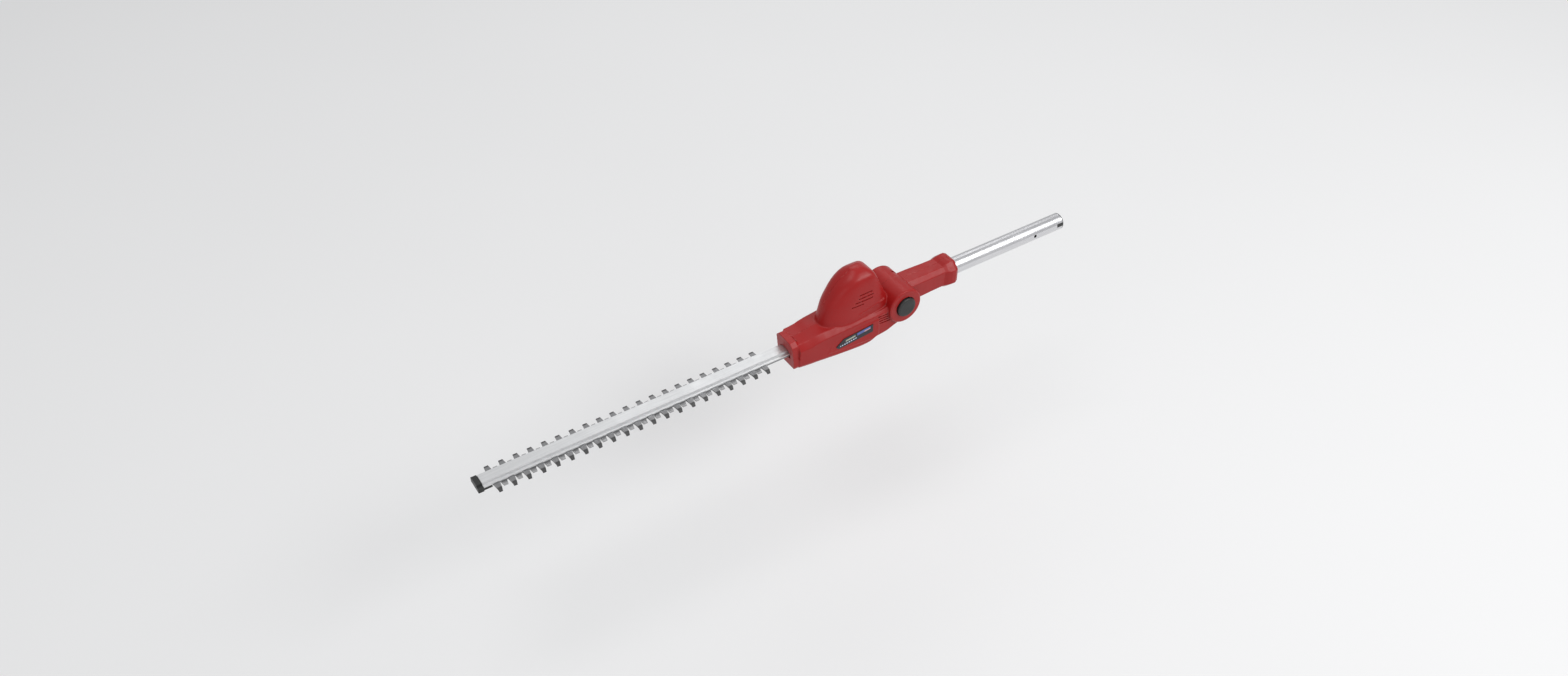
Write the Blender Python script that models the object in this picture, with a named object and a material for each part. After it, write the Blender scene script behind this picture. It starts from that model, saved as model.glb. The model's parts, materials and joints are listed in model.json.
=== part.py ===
"""Cutting head of a pole hedge trimmer: tilting head, reciprocating blade and the
end of the pole it hangs on.

Frame: metres, +Z up.  The origin is the centre of the pole's rear end face, +X
runs from the blade tip to the pole's end, and the blades lie flat in XY.
Lengths along the tool are laid out as stations in millimetres from the first
guard tooth, and heights in millimetres above the plane of the teeth; P() turns
them into the part's own frame.
"""
import math

import bmesh
import bpy
from mathutils import Matrix, Vector

# ---------------------------------------------------------------- dimensions (mm)
MM = 0.001
GAP = 0.3                    # between touching pieces
POLE_END = 953.0             # station of the pole's rear end face
AXIS_H = 24.0                # height of the pole's axis above the tooth plane

PITCH = 20.0                 # tooth pitch
TEETH = 21                   # long guard teeth on each side
BAR_START, BAR_END = -17.0, 486.0
BAR_TOP, BAR_LIP, BAR_BOT = 6.0, 3.2, 1.4
BAR_HALF, BAR_CROWN = 12.1, 7.1
COMB_TOP, COMB_BOT = 1.1, -1.0
COMB_START, COMB_END = -5.0, 488.0
COMB_ROOT, COMB_FOLD, COMB_TIP = 11.4, 22.6, 25.8
BLADE_TOP, BLADE_BOT = -1.3, -3.4
BLADE_START, BLADE_END = 3.0, 513.0
BLADE_ROOT, BLADE_TIP = 10.0, 18.0
STROKE = 8.0                 # half the stroke of the blade

PIVOT = 626.3                # station of the tilt axis, at height AXIS_H
KNUCKLE_R, KNUCKLE_NEAR, KNUCKLE_FAR = 27.5, 37.5, 33.5
EYE_R, EYE_HALF, CHEEK_IN = 24.6, 16.9, 17.3
TILT_MAX = 60.0              # degrees the head folds down
NECK_HALF = 19.6
COLLAR_END = 736.0
WALL = 2.4

TUBE_R, TUBE_WALL = 13.0, 1.5
TUBE_IN = 662.0              # station where the tube stops inside the sleeve
SNAP_HOLE_X, SNAP_HOLE_R = 895.5, 2.6

MOTOR_X = 557.0
GEAR_MODULE, GEAR_TEETH, PINION_TEETH = 1.0, 36, 10
GEAR_X = MOTOR_X - GEAR_MODULE * (GEAR_TEETH + PINION_TEETH) / 2.0
CRANK_PIN_R = 2.8
AXLE_R = 3.0

SCREW_STATIONS = (30.0, 150.0, 270.0, 390.0, 477.0)

# ---------------------------------------------------------------- scene
for ob in list(bpy.data.objects):
    bpy.data.objects.remove(ob, do_unlink=True)

PARTS = bpy.data.collections.new("pole_hedge_trimmer")
CUTTERS = bpy.data.collections.new("cutters")
bpy.context.scene.collection.children.link(PARTS)
bpy.context.scene.collection.children.link(CUTTERS)


def P(x, y, z):
    """Station, side, height in mm -> the part's frame in metres."""
    return Vector(((x - POLE_END) * MM, y * MM, (z - AXIS_H) * MM))


def material(name, rgb, rough, metal=0.0):
    m = bpy.data.materials.get(name)
    if m is None:
        m = bpy.data.materials.new(name)
        m.use_nodes = True
        b = m.node_tree.nodes["Principled BSDF"]
        b.inputs["Base Color"].default_value = (*rgb, 1.0)
        b.inputs["Roughness"].default_value = rough
        b.inputs["Metallic"].default_value = metal
        m.diffuse_color = (*rgb, 1.0)
    return m


RED = material("red_plastic", (0.33, 0.022, 0.022), 0.42)
BLACK = material("black_plastic", (0.03, 0.03, 0.032), 0.5)
ALU = material("bare_aluminium", (0.72, 0.72, 0.73), 0.32, 1.0)
STEEL = material("ground_steel", (0.45, 0.45, 0.46), 0.3, 1.0)
ZINC = material("zinc_steel", (0.55, 0.55, 0.56), 0.35, 1.0)
BLUED = material("blued_steel", (0.08, 0.08, 0.09), 0.4, 1.0)
BRASS = material("sintered_bronze", (0.5, 0.34, 0.14), 0.4, 1.0)
COPPER = material("copper", (0.6, 0.25, 0.12), 0.35, 1.0)
LABEL = material("label_film", (0.02, 0.025, 0.05), 0.35)
NYLON = material("white_nylon", (0.75, 0.74, 0.7), 0.45)
LEAD = material("cable_sheath", (0.04, 0.04, 0.045), 0.6)


def add(bm, name, mat, cutter=False, origin=None, parent=None, smooth=None):
    """Turns a bmesh in the part's frame into an object whose origin is at origin."""
    bmesh.ops.remove_doubles(bm, verts=bm.verts, dist=1e-7)
    bmesh.ops.recalc_face_normals(bm, faces=bm.faces)
    me = bpy.data.meshes.new(name)
    bm.to_mesh(me)
    bm.free()
    ob = bpy.data.objects.new(name, me)
    if origin is not None:
        me.transform(Matrix.Translation(-origin))
        ob.location = origin
    if cutter:
        CUTTERS.objects.link(ob)
        ob.hide_render = True
        ob.display_type = "WIRE"
    else:
        PARTS.objects.link(ob)
        me.materials.append(mat)
        if smooth:
            me.shade_smooth()
            me.set_sharp_from_angle(angle=math.radians(smooth))
    if parent is not None:
        ob.parent = parent
        ob.matrix_parent_inverse = Matrix.Translation(parent.location).inverted()
    return ob


def boolean(ob, tool, op="DIFFERENCE"):
    m = ob.modifiers.new(op.lower() + "_" + tool.name, "BOOLEAN")
    m.operation = op
    m.solver = "EXACT"
    m.object = tool
    return ob


def box(name, x0, x1, y0, y1, z0, z1, mat=None, **kw):
    bm = bmesh.new()
    a, b = P(x0, y0, z0), P(x1, y1, z1)
    c, s = (a + b) / 2, b - a
    bmesh.ops.create_cube(bm, size=1.0, matrix=Matrix.Translation(c) @ Matrix.Diagonal((abs(s.x), abs(s.y), abs(s.z), 1)))
    return add(bm, name, mat, cutter=mat is None, **kw)


AX = {"X": Matrix.Rotation(math.pi / 2, 4, "Y"), "Y": Matrix.Rotation(-math.pi / 2, 4, "X"), "Z": Matrix.Identity(4)}


def revolve(bm, rings, axis, centre, seg=24, turn=0.0):
    """Adds a solid of revolution to bm.  rings is [(along, radius), ...] in mm along
    the axis through centre (station, side, height); a list that comes back to its
    start makes a bored piece."""
    base = Matrix.Translation(P(*centre)) @ AX[axis] @ Matrix.Rotation(turn, 4, "Z")
    loops = []
    for t, r in rings:
        loops.append([bm.verts.new(base @ Vector((r * MM * math.cos(2 * math.pi * k / seg), r * MM * math.sin(2 * math.pi * k / seg), t * MM))) for k in range(seg)])
    closed = rings[0] == rings[-1]
    if closed:
        for v in loops[-1]:
            bm.verts.remove(v)
        loops[-1] = loops[0]
    for a, b in zip(loops, loops[1:]):
        for k in range(seg):
            bm.faces.new((a[k], a[(k + 1) % seg], b[(k + 1) % seg], b[k]))
    if not closed:
        bm.faces.new(loops[0])
        bm.faces.new(loops[-1])


def turned(name, rings, axis, centre, mat=None, seg=24, turn=0.0, **kw):
    """A solid of revolution as an object of its own."""
    bm = bmesh.new()
    revolve(bm, rings, axis, centre, seg, turn)
    return add(bm, name, mat, cutter=mat is None, smooth=None if mat is None else 35, **kw)


def rod(name, x, y, z, axis, length, r, mat=None, seg=24, **kw):
    """Cylinder starting at (x, y, z) and running length mm along the axis."""
    return turned(name, [(0, r), (length, r)], axis, (x, y, z), mat, seg, **kw)


def prism(name, pts, axis, lo, hi, mat=None, **kw):
    """Closed outline extruded between lo and hi (mm).  axis X: pts are (side, height);
    axis Y: (station, height); axis Z: (station, side)."""
    bm = bmesh.new()
    place = {"X": lambda u, v, t: P(t, u, v), "Y": lambda u, v, t: P(u, t, v), "Z": lambda u, v, t: P(u, v, t)}[axis]
    verts = [bm.verts.new(place(u, v, lo)) for u, v in pts]
    f = bm.faces.new(verts)
    ext = bmesh.ops.extrude_face_region(bm, geom=[f])
    shift = place(0, 0, hi) - place(0, 0, lo)
    bmesh.ops.translate(bm, vec=shift, verts=[v for v in ext["geom"] if isinstance(v, bmesh.types.BMVert)])
    return add(bm, name, mat, cutter=mat is None, **kw)


def loft(name, sections, mat=None, **kw):
    """Skin through closed sections with the same number of points, capped at both ends."""
    bm = bmesh.new()
    loops = [[bm.verts.new(p) for p in s] for s in sections]
    n = len(loops[0])
    for a, b in zip(loops, loops[1:]):
        for k in range(n):
            bm.faces.new((a[k], a[(k + 1) % n], b[(k + 1) % n], b[k]))
    bm.faces.new(loops[0])
    bm.faces.new(loops[-1])
    bmesh.ops.triangulate(bm, faces=bm.faces)
    return add(bm, name, mat, cutter=mat is None, **kw)


# ---------------------------------------------------------------- joint empties
def empty(name, p, parent=None):
    e = bpy.data.objects.new(name, None)
    e.empty_display_size = 0.02
    e.location = p
    PARTS.objects.link(e)
    return e


HEAD_AXIS = empty("head_tilt_axis", P(PIVOT, 0, AXIS_H))
BLADE_AXIS = empty("blade_slide_axis", P(0, 0, BLADE_TOP))
MOTOR_AXIS = empty("motor_axis", P(MOTOR_X, 0, 0))
GEAR_AXIS = empty("gear_axis", P(GEAR_X, 0, 0))
BUTTON_AXIS = empty("lock_button_axis", P(PIVOT, -KNUCKLE_NEAR, AXIS_H))


def on(e):
    return {"parent": e}


# ================================================================= HOUSING
# Body sections: station, then half-section points (side, height) from top centre
# to bottom centre: deck edge, chamfer foot, side foot, bottom corner.
BODY = [
    (453.0, (20.4, 21.0), (22.8, 8.0), (22.9, -17.8), (20.6, -22.2)),
    (470.0, (20.6, 22.6), (24.8, 9.8), (24.7, -18.4), (22.2, -22.8)),
    (484.0, (21.4, 25.2), (25.6, 13.2), (25.5, -19.0), (22.9, -23.4)),
    (505.0, (22.6, 26.8), (27.2, 16.4), (27.1, -20.0), (24.4, -24.3)),
    (528.0, (24.6, 26.6), (28.9, 18.6), (28.7, -20.8), (25.9, -25.0)),
    (555.0, (26.8, 26.4), (30.6, 21.8), (30.2, -21.2), (27.4, -25.4)),
    (572.0, (27.4, 26.8), (31.4, 22.6), (31.1, -19.4), (28.2, -23.5)),
    (582.0, (28.2, 27.4), (31.9, 23.2), (31.4, -14.8), (28.6, -18.9)),
    (600.0, (29.8, 30.0), (32.6, 25.4), (32.0, -11.6), (29.1, -15.6)),
    (612.0, (31.0, 36.0), (33.2, 30.0), (32.8, -6.0), (30.1, -9.8)),
    (626.0, (32.0, 44.0), (33.6, 38.0), (33.1, -1.6), (30.4, -4.8)),
]


def body_solid(name, t, **kw):
    """The body's outer form, or its cavity when t is the wall thickness."""
    secs = []
    for i, (x, a, b, c, d) in enumerate(BODY):
        if t and i == 0:
            x += t
        if t and i == len(BODY) - 1:
            x -= 24.0
            a, b, c, d = BODY[-3][1:]
        half = [(0, a[1] - t), (a[0] - t * 0.7, a[1] - t), (b[0] - t, b[1] - t * 0.3), (c[0] - t, c[1] + t * 0.3), (d[0] - t * 0.6, d[1] + t), (0, d[1] + t)]
        if t and i > len(BODY) - 4 and i < len(BODY) - 1:
            continue
        pts = half + [(-y, z) for y, z in reversed(half[1:-1])]
        secs.append([P(x, y, z) for y, z in pts])
    return loft(name, secs, **kw)


# Motor dome: height, front station, rear station, half width.
DOME = [
    (22.0, 496.0, 613.0, 26.6),
    (40.0, 501.5, 607.1, 26.3),
    (55.0, 506.6, 600.4, 25.9),
    (66.0, 513.0, 595.4, 25.0),
    (76.0, 520.0, 590.9, 24.0),
    (84.0, 527.6, 587.2, 22.6),
    (91.0, 537.0, 583.0, 19.6),
    (96.0, 545.5, 576.5, 13.5),
    (99.2, 551.5, 570.5, 7.5),
]


def dome_solid(name, t, seg=28, **kw):
    secs = []
    for z, xf, xr, w in DOME:
        if t:
            z = z - t if z > 60 else z
        xm = xf + 0.52 * (xr - xf)
        loop = []
        for k in range(seg):
            a = 2 * math.pi * k / seg
            c, s = math.cos(a), math.sin(a)
            n = 5.0 if c > 0 else 2.4
            rx = (xr - xm if c > 0 else xm - xf) - t
            ry = w - t
            x = xm + rx * math.copysign(abs(c) ** (2 / n), c)
            y = ry * math.copysign(abs(s) ** (2 / n), s)
            loop.append(P(x, y, z))
        secs.append(loop)
    return loft(name, secs, **kw)


def nose_solid(name, t, **kw):
    """Collar at the nose, whose front face leans back 4 mm over its height."""
    half = [(0, 24.2 - t), (14.0 - t * 0.7, 24.2 - t), (20.4 - t, 17.6 - t * 0.4), (21.4 - t, -17.8 + t * 0.3), (18.9 - t * 0.6, -22.6 + t), (0, -22.6 + t)]
    pts = half + [(-y, z) for y, z in reversed(half[1:-1])]
    x0, x1 = 441.0 + (2.6 if t else 0), 451.5 + (2 if t else 0)
    a = [P(x0 + (24.2 - z) * 0.095, y, z) for y, z in pts]
    b = [P(x1 + (24.2 - z) * 0.05, y, z) for y, z in pts]
    c = [P(x1 + 4.0 + (24.2 - z) * 0.02, y * 0.94, z * 0.8 if z > 0 else z * 0.94) for y, z in pts]
    return loft(name, [a, b, c], **kw)


def neck_sweep(name, half, clear, y, **kw):
    """Room for the sleeve's neck between the cheeks through the whole tilt."""
    h = half + clear
    pts = [(-4.0, h), (75.0, h)]
    for k in range(0, 6):
        a = -math.radians(TILT_MAX) * k / 5
        pts.append((80 * math.cos(a) + 0, 80 * math.sin(a)))
    a = -math.radians(TILT_MAX)
    c, s = math.cos(a), math.sin(a)
    pts += [(75 * c + h * s, 75 * s - h * c), (h * s - 4 * c, -h * c - 4 * s)]
    return prism(name, [(PIVOT + u, AXIS_H + v) for u, v in pts], "Y", -y, y, **kw)


def ring_sector(bm, r0, r1, y0, y1, a0, a1, n):
    """Adds a sector of a thick ring about the tilt axis, angles in degrees from +X up."""
    quad = []
    for k in range(n + 1):
        a = math.radians(a0 + (a1 - a0) * k / n)
        c, s = math.cos(a), math.sin(a)
        quad.append([bm.verts.new(P(PIVOT + r * c, y, AXIS_H + r * s)) for r, y in ((r0, y0), (r1, y0), (r1, y1), (r0, y1))])
    for a, b in zip(quad, quad[1:]):
        for k in range(4):
            bm.faces.new((a[k], a[(k + 1) % 4], b[(k + 1) % 4], b[k]))
    bm.faces.new(quad[0])
    bm.faces.new(quad[-1])
    bmesh.ops.triangulate(bm, faces=bm.faces)


outer = body_solid("cut_body_outer", 0)
shell = body_solid("cut_housing_form", 0)
for tool in (dome_solid("cut_dome", 0), nose_solid("cut_nose", 0), turned("cut_knuckle", [(-KNUCKLE_NEAR, 26.1), (-KNUCKLE_NEAR + 1.4, KNUCKLE_R), (KNUCKLE_FAR - 1.6, KNUCKLE_R), (KNUCKLE_FAR, 25.9)], "Y", (PIVOT, 0, AXIS_H), seg=40)):
    boolean(shell, tool, "UNION")
bpy.data.objects.remove(outer, do_unlink=True)

cavity = body_solid("cut_cavity", WALL)
boolean(cavity, dome_solid("cut_dome_cavity", WALL), "UNION")
boolean(cavity, nose_solid("cut_nose_cavity", WALL), "UNION")

# slots and openings shared by both halves
cuts = [
    box("cut_bar_slot", 436, 449, -(BAR_HALF + 0.5), BAR_HALF + 0.5, BLADE_BOT - 4.2, BAR_LIP + 0.5),
    box("cut_bar_slot_top", 436, 449, -(BAR_CROWN + 1.2), BAR_CROWN + 1.2, BAR_LIP, BAR_TOP + 0.6),
    rod("cut_eye_room", PIVOT, -CHEEK_IN, AXIS_H, "Y", 2 * CHEEK_IN, EYE_R + 0.8, seg=40),
    neck_sweep("cut_neck_room", NECK_HALF, 0.5, CHEEK_IN),
    rod("cut_pivot_hole", PIVOT, -60, AXIS_H, "Y", 120, 6.3, seg=20),
    rod("cut_button_well", PIVOT, -45, AXIS_H, "Y", 22.5, 14.6, seg=32),
    rod("cut_button_rim", PIVOT, -45, AXIS_H, "Y", 12.0, 16.4, seg=36),
    rod("cut_far_well", PIVOT, KNUCKLE_FAR - 6.5, AXIS_H, "Y", 12, 11.5, seg=28),
]
# the sleeve's root swings round under the knuckle
bm = bmesh.new()
ring_sector(bm, KNUCKLE_R + 0.03, 52.0, -20.6, 20.6, 50.0, -112.0, 27)
cuts.append(add(bm, "cut_root_room", None, cutter=True))
# vents on the dome's flanks: staggered rows, and lower vents behind the label
VENTS = [(552.0, 574.0, 67.6), (549.5, 576.0, 62.0), (544.0, 575.0, 56.6), (538.5, 559.0, 51.2)]
LOW_VENTS = [(581.5 + 1.2 * r, 599.0 + 1.4 * r, 19.4 - 4.3 * r) for r in range(4)]
bm = bmesh.new()
for x0, x1, z, y0, y1 in [(a, b, c, -31.0, 31.0) for a, b, c in VENTS] + [(a, b, c, s * 25.3, s * 36.0) for a, b, c in LOW_VENTS for s in (-1, 1)]:
    a, b = P(x0, y0, z - 0.9), P(x1, y1, z + 0.9)
    bmesh.ops.create_cube(bm, size=1.0, matrix=Matrix.Translation((a + b) / 2) @ Matrix.Diagonal((b.x - a.x, abs(b.y - a.y), b.z - a.z, 1)))
cuts.append(add(bm, "cut_vents", None, cutter=True))

# screw bosses: station, height
BOSSES = [(462.0, 13.2, 19.6), (462.0, -13.0, 21.4), (519.0, 40.0, 19.0), (588.5, 58.0, 20.6), (590.0, -4.0, 30.5)]
BOSS_R, SCREW_R = 4.2, 1.6


bpy.context.view_layer.update()
shell_mesh = bpy.data.meshes.new_from_object(shell.evaluated_get(bpy.context.evaluated_depsgraph_get()))


def housing(name, side):
    """side -1 is the near half, +1 the far half."""
    bm = bmesh.new()
    bm.from_mesh(shell_mesh)
    bmesh.ops.triangulate(bm, faces=bm.faces)
    ob = add(bm, name, RED, **on(HEAD_AXIS))
    boolean(ob, cavity)
    for i, (x, z, reach) in enumerate(BOSSES):
        lo, hi = (-reach, 3.0) if side < 0 else (-3.0, reach)
        boolean(ob, rod(f"cut_boss_{name}_{i}", x, lo, z, "Y", hi - lo, BOSS_R, seg=14, turn=0.11), "UNION")
    lo, hi = (-70, -GAP / 2) if side < 0 else (GAP / 2, 70)
    boolean(ob, box(f"cut_half_{name}", 400, 700, lo, hi, -60, 140), "INTERSECT")
    for c in cuts:
        boolean(ob, c)
    bm = bmesh.new()
    for x, z, reach in BOSSES:
        if side < 0:
            revolve(bm, [(-15.0, SCREW_R + 0.25), (5.0, SCREW_R + 0.25)], "Y", (x, 0, z), 12, 0.2)
        else:
            revolve(bm, [(-5.0, SCREW_R + 0.45), (8.0, SCREW_R + 0.45), (8.0, 3.4), (60.0, 3.4)], "Y", (x, 0, z), 12, 0.2)
    boolean(ob, add(bm, f"cut_screws_{name}", None, cutter=True))
    return ob




def wall_plate(name, outline, inner, outer_, mat=None, **kw):
    """Flat plate parallel to the near flank, between two offsets outward of it."""
    bm = bmesh.new()

    def y(x, off):
        return -(26.6 + (x - 505.0) * 0.068 + off)

    a = [bm.verts.new(P(x, y(x, inner), z)) for x, z in outline]
    b = [bm.verts.new(P(x, y(x, outer_), z)) for x, z in outline]
    bm.faces.new(a)
    bm.faces.new(b)
    for k in range(len(a)):
        j = (k + 1) % len(a)
        bm.faces.new((a[k], a[j], b[j], b[k]))
    bmesh.ops.triangulate(bm, faces=bm.faces)
    return add(bm, name, mat, cutter=mat is None, **kw)


PANEL_OUT = [(499.0, -13.5), (576.0, -16.2), (584.0, -12.0), (583.0, 15.6), (556.0, 14.4), (516.0, 10.0), (508.0, 8.0)]
LABEL_OUT = [(511.5, -6.5), (516.0, -11.0), (572.5, -1.2), (572.5, 12.4), (524.0, 4.6)]
panel = wall_plate("cut_side_panel", PANEL_OUT, -2.0, 1.0)

near = housing("housing_near_half", -1)
far = housing("housing_far_half", 1)
# the raised side panel is moulded on the near half, outside the first cuts
idx = [m.name for m in near.modifiers].index("intersect_cut_half_housing_near_half")
m = near.modifiers.new("union_panel", "BOOLEAN")
m.operation, m.solver, m.object = "UNION", "EXACT", panel
near.modifiers.move(len(near.modifiers) - 1, idx)

wall_plate("label_plate", LABEL_OUT, 1.3, 1.8, LABEL, **on(HEAD_AXIS))

for i, (x, z, reach) in enumerate(BOSSES):
    turned(f"housing_screw_{i + 1}", [(-12.0, 1.5), (8.3, 1.5), (8.3, 2.9), (10.6, 2.9)], "Y", (x, 0, z), ZINC, 12, **on(HEAD_AXIS))

# ================================================================= BAR AND BLADES
BAR_SECTION = [(-BAR_HALF, BAR_BOT), (BAR_HALF, BAR_BOT), (BAR_HALF, BAR_LIP), (BAR_CROWN + 0.9, BAR_LIP), (BAR_CROWN, BAR_TOP), (-BAR_CROWN, BAR_TOP), (-BAR_CROWN - 0.9, BAR_LIP), (-BAR_HALF, BAR_LIP)]
bar = prism("guide_bar", BAR_SECTION, "X", BAR_START, BAR_END, ALU, **on(HEAD_AXIS))
for i, x in enumerate(SCREW_STATIONS):
    boolean(bar, rod(f"cut_bar_hole_{i}", x, 0, BAR_BOT - 2, "Z", 2.0 + (4.9 - BAR_BOT if i < 4 else 12.0), 2.8, seg=12))

CAP = [(-12.5, 3.7), (-12.5, -3.6), (12.5, -3.6), (12.5, 3.7), (8.2, 3.9), (7.4, 6.5), (-7.4, 6.5), (-8.2, 3.9)]
cap = prism("bar_tip_cap", CAP, "X", -25.0, -17.3, BLACK, **on(HEAD_AXIS))
boolean(cap, box("cut_cap_tongue", -18.5, -5.6, -11.2, 11.2, -3.4, 1.1), "UNION")


def comb_outline():
    """Guard comb: long teeth every pitch on both edges, outline in (station, side)."""
    side = [(COMB_START, COMB_ROOT)]
    for k in range(TEETH):
        x = k * PITCH
        side += [(x - 4.6, COMB_ROOT + (0.0 if k else 0.4)), (x - 2.9, COMB_FOLD), (x + 2.9, COMB_FOLD), (x + 4.6, COMB_ROOT)]
    side.append((COMB_END, COMB_ROOT))
    side[1] = (-4.5, COMB_ROOT + 0.4)
    return side + [(x, -y) for x, y in reversed(side)]


comb = prism("guard_comb", comb_outline(), "Z", COMB_BOT, COMB_TOP, STEEL, **on(HEAD_AXIS))
# blunt tips of the long teeth, folded down past the edge of the moving blade
bm = bmesh.new()
for k in range(TEETH):
    x = k * PITCH
    for s in (-1, 1):
        prof = [(COMB_FOLD - 1.6, COMB_TOP), (COMB_FOLD, COMB_TOP), (COMB_FOLD + 2.6, COMB_TOP - 3.2), (COMB_FOLD + 2.6, COMB_TOP - 4.4), (COMB_FOLD + 1.4, COMB_TOP - 4.4), (COMB_FOLD - 0.3, COMB_BOT), (COMB_FOLD - 1.6, COMB_BOT)]
        lo = [bm.verts.new(P(x - (2.9 if y <= COMB_FOLD else 2.3), s * y, z)) for y, z in prof]
        hi = [bm.verts.new(P(x + (2.9 if y <= COMB_FOLD else 2.3), s * y, z)) for y, z in prof]
        bm.faces.new(lo)
        bm.faces.new(hi)
        for a in range(len(prof)):
            b = (a + 1) % len(prof)
            bm.faces.new((lo[a], lo[b], hi[b], hi[a]))
boolean(comb, add(bm, "cut_comb_tips", None, cutter=True), "UNION")


def slot_outline(x, half, r, n=6):
    pts = []
    for c, a0 in ((x + half, -math.pi / 2), (x - half, math.pi / 2)):
        for k in range(n + 1):
            a = a0 + math.pi * k / n
            pts.append((c + r * math.cos(a), r * math.sin(a)))
    return pts


for i, x in enumerate(SCREW_STATIONS):
    boolean(comb, rod(f"cut_comb_hole_{i}", x, 0, COMB_BOT - 2, "Z", 6, 2.8, seg=12))


def blade_outline():
    """Moving blade: short ground teeth half a pitch from the guard teeth at rest."""
    side = [(BLADE_START, 8.6), (BLADE_START + 2.0, BLADE_ROOT)]
    for k in range(TEETH - 1):
        x = (k + 0.5) * PITCH
        side += [(x - 4.2, BLADE_ROOT), (x - 2.9, BLADE_TIP), (x + 2.9, BLADE_TIP), (x + 4.2, BLADE_ROOT)]
    side += [(BLADE_END - 14.0, BLADE_ROOT), (BLADE_END, BLADE_ROOT)]
    return side + [(x, -y) for x, y in reversed(side)]


blade = prism("cutter_blade", blade_outline(), "Z", BLADE_BOT, BLADE_TOP, STEEL, **on(BLADE_AXIS))
for i, x in enumerate(SCREW_STATIONS):
    boolean(blade, prism(f"cut_blade_slot_{i}", slot_outline(x, STROKE + 0.4, 2.8), "Z", BLADE_BOT - 1, BLADE_TOP + 1))
    turned(f"bar_screw_{i + 1}", [(-6.2, 3.9), (-5.6, 4.8), (BLADE_BOT - GAP, 4.8), (BLADE_BOT - GAP, 2.5), (4.6 if i < 4 else 13.5, 2.5)], "Z", (x, 0, 0), ZINC, 16, **on(HEAD_AXIS))

YOKE_X = STROKE * 2 + CRANK_PIN_R + 0.6
YOKE_Y = STROKE + CRANK_PIN_R + 0.7
yoke = box("blade_yoke", 500.6, GEAR_X + YOKE_X + 4.0, -YOKE_Y - 4.0, YOKE_Y + 4.0, -0.9, 4.2, STEEL, **on(BLADE_AXIS))
boolean(yoke, box("cut_yoke_window", GEAR_X - YOKE_X, GEAR_X + YOKE_X, -YOKE_Y, YOKE_Y, -3, 7))
for i, y in enumerate((-6.0, 6.0)):
    for ob in (yoke, blade):
        boolean(ob, rod(f"cut_rivet_{ob.name}_{i}", 507.0, y, -6, "Z", 14, 2.3, seg=12))
    turned(f"yoke_rivet_{i + 1}", [(-4.9, 3.4), (-3.7, 3.4), (-3.7, 2.0), (4.5, 2.0), (4.5, 3.4), (5.5, 3.4)], "Z", (507.0, y, 0), ZINC, 12, **on(BLADE_AXIS))

clamp = box("bar_clamp", 468.5, 500.0, -9.0, 9.0, 6.3, 16.3, ALU, **on(HEAD_AXIS))
boolean(clamp, rod("cut_clamp_hole", SCREW_STATIONS[4], 0, 5, "Z", 9.5, 2.8, seg=12))
boolean(clamp, rod("cut_clamp_pilot", 494.0, 0, 9, "Z", 10, 2.0, seg=12))

# ================================================================= GEARBOX
plate = prism("gear_plate", [(488.0, -14.0), (504.0, -20.5), (586.0, -21.5), (586.0, 21.5), (504.0, 20.5), (488.0, 14.0)], "Z", 16.6, 19.0, ALU, **on(HEAD_AXIS))
boolean(plate, rod("cut_plate_pinion", MOTOR_X, 0, 10, "Z", 20, 7.2, seg=20))
boolean(plate, rod("cut_plate_axle", GEAR_X, 0, 10, "Z", 20, AXLE_R + 0.3, seg=16))
boolean(plate, rod("cut_plate_screw", 494.0, 0, 10, "Z", 20, 2.0, seg=12))
turned("plate_screw", [(10.0, 1.7), (19.3, 1.7), (19.3, 3.4), (21.4, 3.4)], "Z", (494.0, 0, 0), ZINC, 12, **on(HEAD_AXIS))
for i, y in enumerate((-10.0, 10.0)):
    boolean(plate, rod(f"cut_plate_motor_{i}", MOTOR_X + 9.0, y, 10, "Z", 20, 1.8, seg=10))
    turned(f"motor_screw_{i + 1}", [(13.9, 2.8), (16.3, 2.8), (16.3, 1.5), (24.5, 1.5)], "Z", (MOTOR_X + 9.0, y, 0), ZINC, 12, **on(HEAD_AXIS))

turned("gear_axle", [(7.0, AXLE_R), (19.3, AXLE_R), (19.3, 4.1), (20.6, 4.1)], "Z", (GEAR_X, 0, 0), ZINC, 24, **on(HEAD_AXIS))
ring = turned("axle_clip", [(7.6, AXLE_R + 0.05), (7.6, 4.6), (8.6, 4.6), (8.6, AXLE_R + 0.05), (7.6, AXLE_R + 0.05)], "Z", (GEAR_X, 0, 0), ZINC, 24, **on(HEAD_AXIS))


def gear_outline(cx, teeth, module, phase):
    r = module * teeth / 2.0
    p = 2 * math.pi / teeth
    pts = []
    for k in range(teeth):
        a = phase + k * p
        for rr, w in ((r - 1.3 * module, -0.27), (r, -0.2), (r + 0.85 * module, -0.09), (r + 0.85 * module, 0.09), (r, 0.2), (r - 1.3 * module, 0.27)):
            pts.append((cx + rr * math.cos(a + w * p), rr * math.sin(a + w * p)))
    return pts


gear = prism("drive_gear", gear_outline(GEAR_X, GEAR_TEETH, GEAR_MODULE, 0.0), "Z", 9.0, 14.0, STEEL, **on(GEAR_AXIS))
boolean(gear, rod("cut_gear_hub", GEAR_X, 0, 12.0, "Z", 4.3, 6.2, seg=24), "UNION")
boolean(gear, rod("cut_crank_pin", GEAR_X, -STROKE, -0.4, "Z", 11.0, CRANK_PIN_R, seg=20), "UNION")
boolean(gear, rod("cut_gear_bore", GEAR_X, 0, 5, "Z", 20, AXLE_R + 0.05, seg=24))
pinion = prism("motor_pinion", gear_outline(MOTOR_X, PINION_TEETH, GEAR_MODULE, math.pi / PINION_TEETH), "Z", 8.5, 16.0, STEEL, **on(MOTOR_AXIS))
boolean(pinion, rod("cut_pinion_bore", MOTOR_X, 0, 5, "Z", 20, 1.9, seg=14))

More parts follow.
